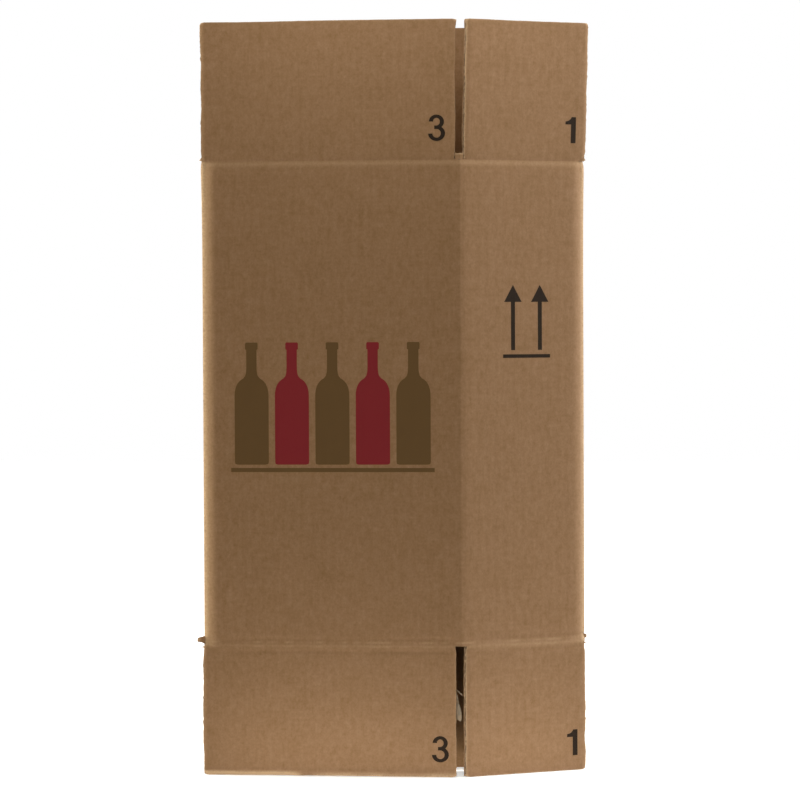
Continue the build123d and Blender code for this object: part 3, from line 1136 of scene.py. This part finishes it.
def add_print():
    """Plain numbers on the flaps, two arrows on the narrow wall and bottles on the wide one."""
    black = ink_material("black_ink", BLACK_INK)
    olive = ink_material("olive_ink", OLIVE_INK)
    crimson = ink_material("crimson_ink", CRIMSON_INK)
    for node, (left, foot) in DIGITS.items():
        hinge = hinges[node]
        up = DIGIT_HEIGHT * hinge.side
        loops = [
            [(left + x * DIGIT_HEIGHT, foot + y * up) for x, y in loop]
            for loop in digit_loops(hinge.number)
        ]
        print_piece("print_" + node, node, hinge, [loops], black)
    arrows = [arrow_loops(middle) for middle in ARROWS]
    bar = bar_loops(ARROW_BAR, ARROW_FOOT)
    print_piece("print_arrows", SLEEVE, walls[1], [bar, *arrows], black)
    shelf = bar_loops(SHELF, SHELF_FOOT)
    standing = SHELF_FOOT + SHELF[2] + BOTTLE_GAP
    first = (SHELF[0] + SHELF[1]) / 2 - BOTTLE_PITCH * (BOTTLE_COUNT - 1) / 2
    bottles = [bottle_loops(first + k * BOTTLE_PITCH, standing) for k in range(BOTTLE_COUNT)]
    print_piece("print_shelf_and_bottles", SLEEVE, walls[3], [shelf, *bottles[::2]], olive)
    print_piece("print_bottles", SLEEVE, walls[3], bottles[1::2], crimson)


class Nodes:
    """A short way to write the nodes of a material or of the world."""

    def __init__(self, owner, shader="Principled BSDF"):
        owner.use_nodes = True
        self.owner = owner
        self.tree = owner.node_tree
        self.shader = self.tree.nodes[shader]

    def new(self, kind, inputs=None, **settings):
        node = self.tree.nodes.new(kind)
        for key, value in settings.items():
            setattr(node, key, value)
        for key, value in (inputs or {}).items():
            self.feed(node.inputs[key], value)
        return node

    def feed(self, socket, value):
        if isinstance(value, bpy.types.NodeSocket):
            self.tree.links.new(value, socket)
        else:
            socket.default_value = value

    def give(self, name, value):
        """Sets or feeds one of the shader's own sockets."""
        self.feed(self.shader.inputs[name], value)

    def math(self, operation, a, b=0.0, c=0.0):
        return self.new("ShaderNodeMath", {0: a, 1: b, 2: c}, operation=operation).outputs[0]

    def noise(self, vector, scale, detail=2.0, roughness=0.5):
        inputs = {"Vector": vector, "Scale": scale, "Detail": detail, "Roughness": roughness}
        return self.new("ShaderNodeTexNoise", inputs).outputs["Fac"]

    def grain(self, place, scales, detail=1.0):
        """Noise with a scale of its own in each direction."""
        inputs = {0: place, 1: scales}
        scaled = self.new("ShaderNodeVectorMath", inputs, operation="MULTIPLY").outputs[0]
        return self.noise(scaled, 1.0, detail)

    def between(self, value, low, high, to_low=0.0, to_high=1.0):
        inputs = {"Value": value, 1: low, 2: high, 3: to_low, 4: to_high}
        return self.new("ShaderNodeMapRange", inputs).outputs[0]

    def flecks(self, place, kind):
        """How strong a kind of fleck is at a place."""
        scales, detail, levels, most = kind
        return self.between(self.grain(place, scales, detail), *levels, 0.0, most)

    def seen(self):
        """1 for what the camera sees or a gloss mirrors, and 0 for the light that falls."""
        ray = self.new("ShaderNodeLightPath")
        return self.math("MAXIMUM", ray.outputs["Is Camera Ray"], ray.outputs["Is Glossy Ray"])

    def mix(self, factor, a, b):
        node = self.new("ShaderNodeMix", data_type="RGBA")
        self.feed(node.inputs["Factor"], factor)
        for socket, value in ((6, a), (7, b)):
            self.feed(node.inputs[socket], (*value, 1) if isinstance(value, tuple) else value)
        return node.outputs[2]

    def finish(self, colour, relief, roughness, specular):
        """Sets the shader's colour, gloss and relief."""
        self.give("Base Color", colour)
        self.give("Roughness", roughness)
        self.give("Specular IOR Level", specular)
        inputs = {"Height": relief, "Strength": RELIEF_STRENGTH, "Distance": RELIEF_DEPTH}
        self.give("Normal", self.new("ShaderNodeBump", inputs).outputs["Normal"])
        return self.owner


def paper(n):
    """What every paper surface shares: its tone from 0 to 1, with painted shade along the flutes,
    its relief and its place.
    """
    place = n.new("ShaderNodeAttribute", attribute_name="board").outputs["Vector"]
    split = n.new("ShaderNodeSeparateXYZ", {0: place})
    total = 0.5 - sum(share for _, share in MOTTLING) / 2
    for scales, share in MOTTLING:
        total = n.math("MULTIPLY_ADD", n.grain(place, scales), share, total)
    turn = n.math("MULTIPLY", split.outputs[0], 2 * math.pi / (FLUTE_PITCH * MM))
    patchy = n.between(n.noise(place, PATCH_SCALE), *PATCH_LEVELS)
    flute = n.math("MULTIPLY", n.math("COSINE", turn), patchy)
    # The flute lines darken the tone as painted shade and also give real relief
    tone = n.math("MULTIPLY_ADD", flute, FLUTE_LINE_SHADE, total)
    mottling = n.math("MULTIPLY", total, MOTTLING_RELIEF)
    relief = n.math("MULTIPLY_ADD", flute, FLUTE_LINE_RELIEF, mottling)
    return tone, relief, place, split.outputs[2]


def kraft_material():
    """Brown kraft liner with its mottling, flute lines of painted shade, specks, torn edges and
    painted highlights.
    """
    n = Nodes(bpy.data.materials.new("kraft_board"))
    tone, relief, place, layer = paper(n)
    wear_and_highlight = n.new("ShaderNodeAttribute", attribute_name="wear_and_highlight").outputs["Fac"]
    colour = n.mix(tone, KRAFT_DARK, KRAFT_LIGHT)
    colour = n.mix(n.flecks(place, SPECKS), colour, KRAFT_SPECK)
    colour = n.mix(n.flecks(place, FIBRES), colour, KRAFT_LIGHT)
    colour = n.mix(n.math("GREATER_THAN", layer, FLUTES - 0.5), colour, FLUTE_TONE)
    colour = n.mix(n.math("GREATER_THAN", layer, SCRAP - 0.5), colour, PALE_SCRAP)
    # Torn fibres' pale tone, laid by the mask, is also the painted highlight on folds, crease ridges
    # and the foot
    fibrous = n.between(n.noise(place, *TEAR_NOISE), *TEAR_LEVELS)
    colour = n.mix(n.math("MULTIPLY", wear_and_highlight, fibrous), colour, TEAR_AND_HIGHLIGHT_TONE)
    return n.finish(colour, relief, KRAFT_ROUGHNESS, KRAFT_SPECULAR)


def ink_material(name, ink):
    """Printing ink that lets a little of the paper's mottling through."""
    n = Nodes(bpy.data.materials.new(name))
    tone, relief, place, _ = paper(n)
    thin = n.math("MULTIPLY_ADD", tone, INK_MOTTLING, n.flecks(place, INK_GAPS))
    return n.finish(n.mix(thin, ink, KRAFT_DARK), relief, INK_ROUGHNESS, INK_SPECULAR)


def add_floor():
    """A pale floor that reads as white to the camera and keeps the box's shadow."""
    mesh = bpy.data.meshes.new("floor")
    turns = ((-1, -1), (1, -1), (1, 1), (-1, 1))
    mesh.from_pydata([(x * FLOOR_HALF, y * FLOOR_HALF, 0) for x, y in turns], [], [(0, 1, 2, 3)])
    floor = linked("floor", mesh)
    n = Nodes(bpy.data.materials.new("floor"))
    n.give("Base Color", FLOOR_COLOUR)
    n.give("Roughness", FLOOR_ROUGHNESS)
    place = n.new("ShaderNodeTexCoord").outputs["Object"]
    away = n.new("ShaderNodeVectorMath", {0: place}, operation="LENGTH")
    glow = n.between(away.outputs["Value"], *FLOOR_GLOW)
    n.give("Emission Color", WHITE)
    n.give("Emission Strength", n.math("MULTIPLY", n.seen(), glow))
    mesh.materials.append(n.owner)


def add_world():
    """White surroundings for the camera and in gloss, and a faint light for the rest."""
    world = bpy.data.worlds.new("studio")
    bpy.context.scene.world = world
    n = Nodes(world, "Background")
    n.give("Color", WHITE)
    n.give("Strength", n.between(n.seen(), 0.0, 1.0, WORLD_STRENGTH, 1.0))


def add_lamp(name, place, target, size, tint, power):
    """A soft rectangular lamp that faces a point. Places and sizes are in metres."""
    lamp = bpy.data.lights.new(name, "AREA")
    lamp.shape = "RECTANGLE"
    lamp.size, lamp.size_y = size
    lamp.energy = power
    lamp.color = tint
    thing = linked(name, lamp)
    thing.location = place
    look = Vector(target) - Vector(place)
    thing.rotation_euler = look.to_track_quat("-Z", "Y").to_euler()
    thing.visible_camera = False


def add_lamps():
    """Soft lamps at both sides and above, strips along each wall and one faint lamp inside."""
    for name, place, size, tint, power in STUDIO_LAMPS:
        add_lamp(name, place, STUDIO_AIM, size, tint, power)
    for name, distance, height, width, aim, power in STRIP_LAMPS:
        for wall in walls.values():
            middle = (wall.origin + wall.run * (wall.start + wall.end) / 2) * MM
            length = (wall.end - wall.start) * MM
            place = middle - wall.inward * distance
            place[2] = height
            target = Vector((middle[0], middle[1], aim))
            size = (length, width)
            add_lamp(f"{name}_{wall.number}", place, target, size, NEUTRAL, power * length)
    add_lamp("inside", INSIDE_PLACE, INSIDE_AIM, INSIDE_SIZE, WARM, INSIDE_POWER)


def add_camera():
    camera = bpy.data.cameras.new("camera")
    camera.lens = CAMERA_LENS
    thing = linked("camera", camera)
    turn = Matrix.Rotation(math.radians(CAMERA_TURN_DEG), 4, "Z")
    dip = Matrix.Rotation(math.radians(90 - CAMERA_DIP_DEG), 4, "X")
    roll = Matrix.Rotation(math.radians(-CAMERA_ROLL_DEG), 4, "Z")
    thing.matrix_world = Matrix.Translation(Vector(CAMERA_PLACE) * MM) @ turn @ dip @ roll
    bpy.context.scene.camera = thing


kraft = kraft_material()
sleeve_piece(kraft)
for hinge in hinges.values():
    flap_piece(hinge, kraft)
add_print()
add_floor()
add_world()
add_lamps()
add_camera()
bpy.context.scene.view_settings.view_transform = "Standard"
